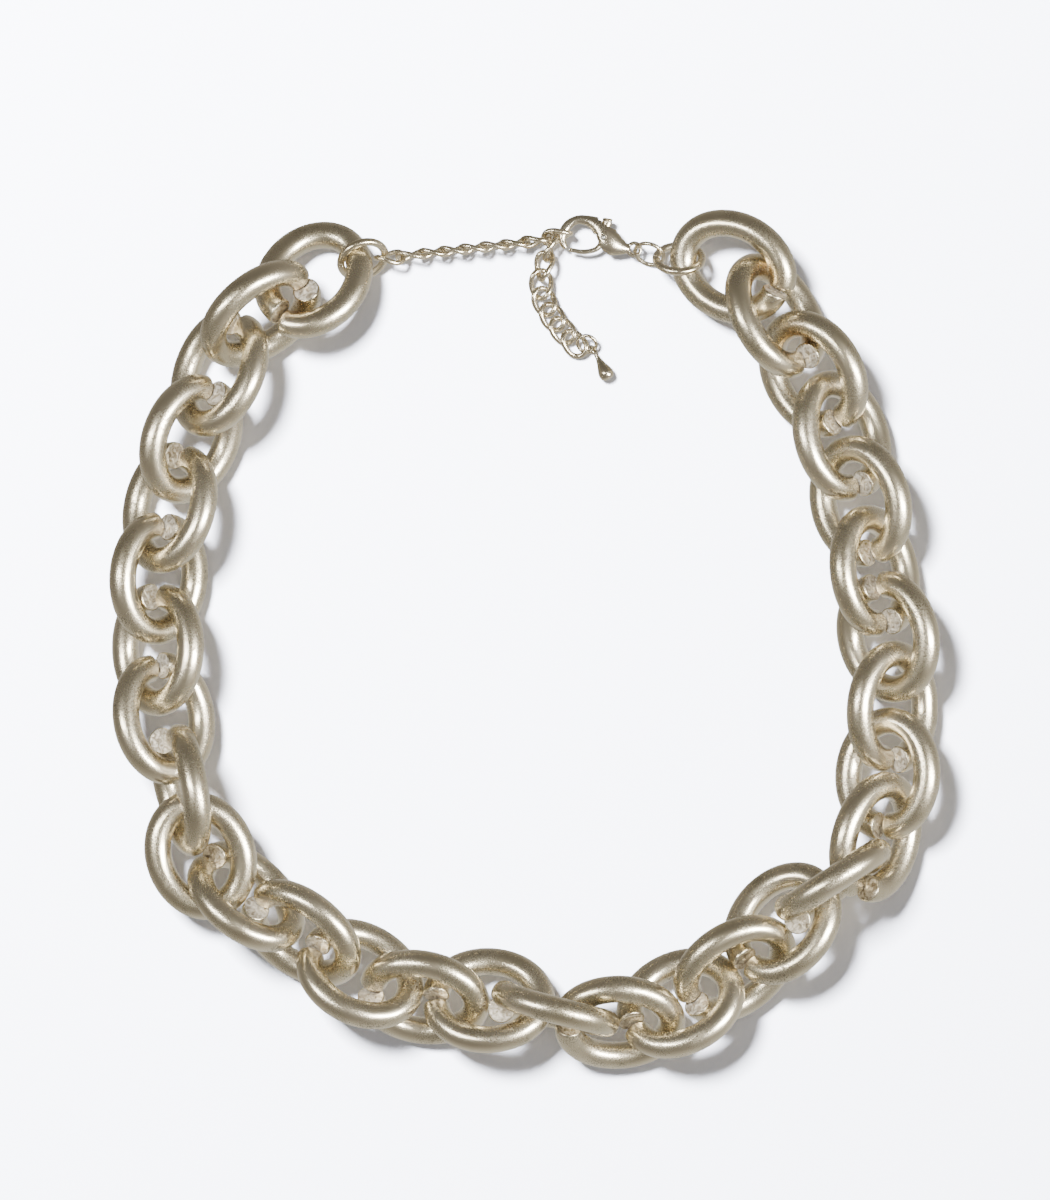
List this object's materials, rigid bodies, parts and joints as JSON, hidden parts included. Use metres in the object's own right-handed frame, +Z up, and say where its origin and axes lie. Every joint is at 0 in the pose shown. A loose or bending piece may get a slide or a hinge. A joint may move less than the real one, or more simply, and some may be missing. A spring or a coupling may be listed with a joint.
{
  "type": "chain necklace",
  "caption": "Chunky chain necklace of interlocked oval rings, closed by a lobster clasp hooked into a curb-link extender with a teardrop.",
  "frame": {"origin": "under the middle of the whole necklace's outline, on the table it lies on", "axes": "+X towards the clasp's side, +Y from the front of the chain towards its closure, +Z up off the table"},
  "size_m": [0.1564, 0.1624, 0.0208],
  "materials": {
    "satin_plated_rod": "champagne-silver plate, satin with fine dark wear",
    "plated_wire": "champagne-silver plate, drawn wire, semi-bright",
    "cast_clasp": "champagne-silver plate over a tumbled casting",
    "spring_steel": "bare spring steel"
  },
  "bodies": {
    "chain_ring_01": {"chain_ring_01": "satin_plated_rod"},
    "chain_ring_02": {"chain_ring_02": "satin_plated_rod"},
    "chain_ring_03": {"chain_ring_03": "satin_plated_rod"},
    "chain_ring_04": {"chain_ring_04": "satin_plated_rod"},
    "chain_ring_05": {"chain_ring_05": "satin_plated_rod"},
    "chain_ring_06": {"chain_ring_06": "satin_plated_rod"},
    "chain_ring_07": {"chain_ring_07": "satin_plated_rod"},
    "chain_ring_08": {"chain_ring_08": "satin_plated_rod"},
    "chain_ring_09": {"chain_ring_09": "satin_plated_rod"},
    "chain_ring_10": {"chain_ring_10": "satin_plated_rod"},
    "chain_ring_11": {"chain_ring_11": "satin_plated_rod"},
    "chain_ring_12": {"chain_ring_12": "satin_plated_rod"},
    "chain_ring_13": {"chain_ring_13": "satin_plated_rod"},
    "chain_ring_14": {"chain_ring_14": "satin_plated_rod"},
    "chain_ring_15": {"chain_ring_15": "satin_plated_rod"},
    "chain_ring_16": {"chain_ring_16": "satin_plated_rod"},
    "chain_ring_17": {"chain_ring_17": "satin_plated_rod"},
    "chain_ring_18": {"chain_ring_18": "satin_plated_rod"},
    "chain_ring_19": {"chain_ring_19": "satin_plated_rod"},
    "chain_ring_20": {"chain_ring_20": "satin_plated_rod"},
    "chain_ring_21": {"chain_ring_21": "satin_plated_rod"},
    "chain_ring_22": {"chain_ring_22": "satin_plated_rod"},
    "chain_ring_23": {"chain_ring_23": "satin_plated_rod"},
    "chain_ring_24": {"chain_ring_24": "satin_plated_rod"},
    "chain_ring_25": {"chain_ring_25": "satin_plated_rod"},
    "chain_ring_26": {"chain_ring_26": "satin_plated_rod"},
    "chain_ring_27": {"chain_ring_27": "satin_plated_rod"},
    "chain_ring_28": {"chain_ring_28": "satin_plated_rod"},
    "chain_ring_29": {"chain_ring_29": "satin_plated_rod"},
    "chain_ring_30": {"chain_ring_30": "satin_plated_rod"},
    "chain_ring_31": {"chain_ring_31": "satin_plated_rod"},
    "clasp_large_ring": {"clasp_large_ring": "plated_wire"},
    "clasp_lever": {"clasp_lever": "cast_clasp"},
    "clasp_small_ring": {"clasp_small_ring": "plated_wire"},
    "drop_ring": {"drop_ring": "plated_wire"},
    "extender_jump_ring": {"extender_jump_ring": "plated_wire"},
    "extender_link_01": {"extender_link_01": "plated_wire"},
    "extender_link_02": {"extender_link_02": "plated_wire"},
    "extender_link_03": {"extender_link_03": "plated_wire"},
    "extender_link_04": {"extender_link_04": "plated_wire"},
    "extender_link_05": {"extender_link_05": "plated_wire"},
    "extender_link_06": {"extender_link_06": "plated_wire"},
    "extender_link_07": {"extender_link_07": "plated_wire"},
    "extender_link_08": {"extender_link_08": "plated_wire"},
    "extender_link_09": {"extender_link_09": "plated_wire"},
    "extender_link_10": {"extender_link_10": "plated_wire"},
    "extender_link_11": {"extender_link_11": "plated_wire"},
    "extender_link_12": {"extender_link_12": "plated_wire"},
    "extender_link_13": {"extender_link_13": "plated_wire"},
    "extender_link_14": {"extender_link_14": "plated_wire"},
    "extender_link_15": {"extender_link_15": "plated_wire"},
    "extender_link_16": {"extender_link_16": "plated_wire"},
    "teardrop": {"teardrop": "cast_clasp"},
    "clasp": {"clasp_body": "cast_clasp", "clasp_pin": "spring_steel", "clasp_spring": "spring_steel"}
  },
  "joints": [
    {"name": "chain_ring_15_swing", "type": "hinge", "parent": "chain_ring_16", "child": "chain_ring_15", "pos_m": [0.00314, -0.06841, 0.00766], "axis": [-0.0667, -0.8808, 0.4688], "range_deg": [0, 28]},
    {"name": "chain_ring_14_swing", "type": "hinge", "parent": "chain_ring_15", "child": "chain_ring_14", "pos_m": [-0.01554, -0.06423, 0.00644], "axis": [0.5688, 0.6705, -0.4763], "range_deg": [0, 24]},
    {"name": "chain_ring_13_swing", "type": "hinge", "parent": "chain_ring_14", "child": "chain_ring_13", "pos_m": [-0.02578, -0.06171, 0.00898], "axis": [0.7906, 0.3668, 0.4904], "range_deg": [-24, 0]},
    {"name": "chain_ring_12_swing", "type": "hinge", "parent": "chain_ring_13", "child": "chain_ring_12", "pos_m": [-0.03997, -0.0613, 0.00542], "axis": [0.9289, -0.1731, 0.3275], "range_deg": [0, 24]},
    {"name": "chain_ring_11_swing", "type": "hinge", "parent": "chain_ring_12", "child": "chain_ring_11", "pos_m": [-0.04756, -0.04833, 0.00552], "axis": [0.5401, -0.7795, 0.3173], "range_deg": [-24, 24]},
    {"name": "chain_ring_10_swing", "type": "hinge", "parent": "chain_ring_11", "child": "chain_ring_10", "pos_m": [-0.0606, -0.04653, 0.01171], "axis": [-0.3083, 0.7058, -0.6378], "range_deg": [-24, 0]},
    {"name": "chain_ring_09_swing", "type": "hinge", "parent": "chain_ring_10", "child": "chain_ring_09", "pos_m": [-0.06492, -0.03609, 0.00519], "axis": [0.3875, -0.6701, 0.633], "range_deg": [0, 24]},
    {"name": "chain_ring_08_swing", "type": "hinge", "parent": "chain_ring_09", "child": "chain_ring_08", "pos_m": [-0.06528, -0.02443, 0.00779], "axis": [0.8391, 0.2144, -0.5], "range_deg": [-24, 24]},
    {"name": "chain_ring_07_swing", "type": "hinge", "parent": "chain_ring_08", "child": "chain_ring_07", "pos_m": [-0.06622, -0.00547, 0.00668], "axis": [-0.7333, 0.3999, 0.5499], "range_deg": [-24, 0]},
    {"name": "chain_ring_06_swing", "type": "hinge", "parent": "chain_ring_07", "child": "chain_ring_06", "pos_m": [-0.06744, 0.0079, 0.00665], "axis": [0.706, -0.1813, 0.6846], "range_deg": [0, 24]},
    {"name": "chain_ring_05_swing", "type": "hinge", "parent": "chain_ring_06", "child": "chain_ring_05", "pos_m": [-0.07038, 0.02143, 0.00746], "axis": [-0.7052, -0.1699, 0.6883], "range_deg": [-28, 0]},
    {"name": "chain_ring_04_swing", "type": "hinge", "parent": "chain_ring_05", "child": "chain_ring_04", "pos_m": [-0.06656, 0.0348, 0.0074], "axis": [-0.7262, -0.0063, -0.6875], "range_deg": [0, 28]},
    {"name": "chain_ring_03_swing", "type": "hinge", "parent": "chain_ring_04", "child": "chain_ring_03", "pos_m": [-0.05649, 0.04216, 0.01102], "axis": [0.7979, -0.3367, 0.5], "range_deg": [-24, 0]},
    {"name": "chain_ring_02_swing", "type": "hinge", "parent": "chain_ring_03", "child": "chain_ring_02", "pos_m": [-0.05311, 0.05902, 0.00618], "axis": [0.6172, -0.3036, 0.7259], "range_deg": [0, 24]},
    {"name": "chain_ring_01_swing", "type": "hinge", "parent": "chain_ring_02", "child": "chain_ring_01", "pos_m": [-0.04858, 0.06731, 0.00754], "axis": [-0.0703, -0.8714, 0.4856], "range_deg": [0, 24]},
    {"name": "extender_jump_ring_swing", "type": "hinge", "parent": "chain_ring_01", "child": "extender_jump_ring", "pos_m": [-0.03428, 0.07275, 0.00671], "axis": [0.4871, 0.6949, 0.529], "range_deg": [-18, 18]},
    {"name": "extender_link_01_roll", "type": "hinge", "parent": "extender_jump_ring", "child": "extender_link_01", "pos_m": [-0.02737, 0.072, 0.00183], "axis": [0.9907, 0.1348, 0.0206], "range_deg": [-2, 12]},
    {"name": "extender_link_02_roll", "type": "hinge", "parent": "extender_link_01", "child": "extender_link_02", "pos_m": [-0.02419, 0.07269, 0.00268], "axis": [0.9919, 0.127, -0.0045], "range_deg": [-12, 12]},
    {"name": "extender_link_03_roll", "type": "hinge", "parent": "extender_link_02", "child": "extender_link_03", "pos_m": [-0.01954, 0.07324, 0.00138], "axis": [0.9908, 0.1284, 0.0433], "range_deg": [-12, 0]},
    {"name": "extender_link_04_roll", "type": "hinge", "parent": "extender_link_03", "child": "extender_link_04", "pos_m": [-0.0156, 0.07364, 0.00369], "axis": [0.9898, 0.1332, -0.0502], "range_deg": [-12, 0]},
    {"name": "extender_link_05_roll", "type": "hinge", "parent": "extender_link_04", "child": "extender_link_05", "pos_m": [-0.01152, 0.07354, 0.00363], "axis": [0.9843, 0.1667, -0.058], "range_deg": [-12, 0]},
    {"name": "extender_link_06_roll", "type": "hinge", "parent": "extender_link_05", "child": "extender_link_06", "pos_m": [-0.00785, 0.07452, 0.00121], "axis": [0.9857, 0.1435, 0.0885], "range_deg": [-12, 0]},
    {"name": "extender_link_07_roll", "type": "hinge", "parent": "extender_link_06", "child": "extender_link_07", "pos_m": [-0.00394, 0.07491, 0.00369], "axis": [0.9819, 0.1589, -0.1032], "range_deg": [-12, 0]},
    {"name": "extender_link_08_roll", "type": "hinge", "parent": "extender_link_07", "child": "extender_link_08", "pos_m": [-0.00027, 0.0753, 0.00359], "axis": [0.9727, 0.1844, -0.1409], "range_deg": [-12, 0]},
    {"name": "extender_link_09_roll", "type": "hinge", "parent": "extender_link_08", "child": "extender_link_09", "pos_m": [0.00405, 0.07631, 0.0032], "axis": [0.9687, 0.122, -0.2162], "range_deg": [-12, 12]},
    {"name": "extender_link_10_swing", "type": "hinge", "parent": "extender_link_09", "child": "extender_link_10", "pos_m": [0.0053, 0.07522, 0.00155], "axis": [-0.7098, 0.4883, 0.5077], "range_deg": [-24, 24]},
    {"name": "extender_link_11_swing", "type": "hinge", "parent": "extender_link_10", "child": "extender_link_11", "pos_m": [0.00448, 0.07198, 0.00185], "axis": [0.4875, 0.2618, -0.833], "range_deg": [-24, 24]},
    {"name": "extender_link_12_swing", "type": "hinge", "parent": "extender_link_11", "child": "extender_link_12", "pos_m": [0.00267, 0.07008, 0.00105], "axis": [-0.9886, 0.1507, 0], "range_deg": [-24, 24]},
    {"name": "extender_link_13_swing", "type": "hinge", "parent": "extender_link_12", "child": "extender_link_13", "pos_m": [0.00179, 0.06602, 0.00108], "axis": [0.9395, -0.0434, -0.3398], "range_deg": [-24, 14]},
    {"name": "extender_link_14_swing", "type": "hinge", "parent": "extender_link_13", "child": "extender_link_14", "pos_m": [0.00337, 0.06189, 0.00056], "axis": [-0.7786, -0.5461, -0.309], "range_deg": [-24, 12]},
    {"name": "extender_link_15_swing", "type": "hinge", "parent": "extender_link_14", "child": "extender_link_15", "pos_m": [0.00491, 0.05928, 0.00171], "axis": [0.7752, 0.5762, 0.2588], "range_deg": [-24, 10]},
    {"name": "extender_link_16_swing", "type": "hinge", "parent": "extender_link_15", "child": "extender_link_16", "pos_m": [0.00902, 0.0588, 0.00109], "axis": [-0.5571, -0.6779, 0.4797], "range_deg": [-24, 24]},
    {"name": "drop_ring_swing", "type": "hinge", "parent": "extender_link_16", "child": "drop_ring", "pos_m": [0.01095, 0.05734, 0.00108], "axis": [0.0498, 0.8646, -0.5], "range_deg": [-24, 24]},
    {"name": "teardrop_swing", "type": "hinge", "parent": "drop_ring", "child": "teardrop", "pos_m": [0.013, 0.05495, 0.00095], "axis": [-0.8239, -0.5667, 0], "range_deg": [-18, 18]},
    {"name": "chain_ring_17_swing", "type": "hinge", "parent": "chain_ring_16", "child": "chain_ring_17", "pos_m": [0.00807, -0.0704, 0.00809], "axis": [0.1688, 0.9511, -0.2588], "range_deg": [0, 24]},
    {"name": "chain_ring_18_swing", "type": "hinge", "parent": "chain_ring_17", "child": "chain_ring_18", "pos_m": [0.02248, -0.0753, 0.00774], "axis": [0.7025, -0.445, 0.5554], "range_deg": [-24, 0]},
    {"name": "chain_ring_19_swing", "type": "hinge", "parent": "chain_ring_18", "child": "chain_ring_19", "pos_m": [0.03448, -0.06996, 0.0058], "axis": [0.7837, -0.2177, -0.5817], "range_deg": [0, 24]},
    {"name": "chain_ring_20_swing", "type": "hinge", "parent": "chain_ring_19", "child": "chain_ring_20", "pos_m": [0.04039, -0.05467, 0.01092], "axis": [0.9466, 0.2559, -0.1963], "range_deg": [-24, 0]},
    {"name": "chain_ring_21_swing", "type": "hinge", "parent": "chain_ring_20", "child": "chain_ring_21", "pos_m": [0.05597, -0.0466, 0.00758], "axis": [-0.5406, 0.6765, -0.5], "range_deg": [0, 26]},
    {"name": "chain_ring_22_swing", "type": "hinge", "parent": "chain_ring_21", "child": "chain_ring_22", "pos_m": [0.06515, -0.0417, 0.00565], "axis": [0.4986, 0.4981, 0.7094], "range_deg": [-24, 0]},
    {"name": "chain_ring_23_swing", "type": "hinge", "parent": "chain_ring_22", "child": "chain_ring_23", "pos_m": [0.07013, -0.03502, 0.00729], "axis": [0.8017, 0.254, 0.541], "range_deg": [-24, 0]},
    {"name": "chain_ring_24_swing", "type": "hinge", "parent": "chain_ring_23", "child": "chain_ring_24", "pos_m": [0.07205, -0.02203, 0.00612], "axis": [0.656, 0.4178, -0.6286], "range_deg": [0, 24]},
    {"name": "chain_ring_25_swing", "type": "hinge", "parent": "chain_ring_24", "child": "chain_ring_25", "pos_m": [0.07328, -0.00775, 0.00882], "axis": [-0.5931, -0.6481, -0.4777], "range_deg": [-20, 24]},
    {"name": "chain_ring_26_swing", "type": "hinge", "parent": "chain_ring_25", "child": "chain_ring_26", "pos_m": [0.06224, 0.00663, 0.00523], "axis": [-0.5972, -0.7501, -0.2842], "range_deg": [-20, 0]},
    {"name": "chain_ring_27_swing", "type": "hinge", "parent": "chain_ring_26", "child": "chain_ring_27", "pos_m": [0.06745, 0.01717, 0.00737], "axis": [0.6574, 0.3954, 0.6414], "range_deg": [0, 24]},
    {"name": "chain_ring_28_swing", "type": "hinge", "parent": "chain_ring_27", "child": "chain_ring_28", "pos_m": [0.0567, 0.0304, 0.0033], "axis": [0.1912, 0.9591, 0.209], "range_deg": [0, 24]},
    {"name": "chain_ring_29_swing", "type": "hinge", "parent": "chain_ring_28", "child": "chain_ring_29", "pos_m": [0.06135, 0.04362, 0.00767], "axis": [-0.3883, -0.6912, -0.6095], "range_deg": [0, 24]},
    {"name": "chain_ring_30_swing", "type": "hinge", "parent": "chain_ring_29", "child": "chain_ring_30", "pos_m": [0.05455, 0.05587, 0.00582], "axis": [0.1423, 0.7678, -0.6246], "range_deg": [-24, 24]},
    {"name": "chain_ring_31_swing", "type": "hinge", "parent": "chain_ring_30", "child": "chain_ring_31", "pos_m": [0.04033, 0.06307, 0.01238], "axis": [-0.1059, -0.9883, 0.1096], "range_deg": [0, 28]},
    {"name": "clasp_large_ring_roll", "type": "hinge", "parent": "chain_ring_31", "child": "clasp_large_ring", "pos_m": [0.03235, 0.07413, 0.00187], "axis": [-0.9946, 0.1002, 0.0263], "range_deg": [0, 12]},
    {"name": "clasp_small_ring_roll", "type": "hinge", "parent": "clasp_large_ring", "child": "clasp_small_ring", "pos_m": [0.02571, 0.07288, 0.00319], "axis": [-0.9794, 0.1989, -0.034], "range_deg": [-12, 12]},
    {"name": "clasp_roll", "type": "hinge", "parent": "clasp_small_ring", "child": "clasp", "pos_m": [0.02103, 0.07327, 0.00227], "axis": [-0.9715, 0.2361, 0.019], "range_deg": [-4, 12]},
    {"name": "gate_pivot", "type": "hinge", "parent": "clasp", "child": "clasp_lever", "pos_m": [0.01485, 0.07628, 0.00254], "axis": [0, 0, -1], "range_deg": [0, 16], "stiffness_Nm_per_rad": 0.004}
  ]
}
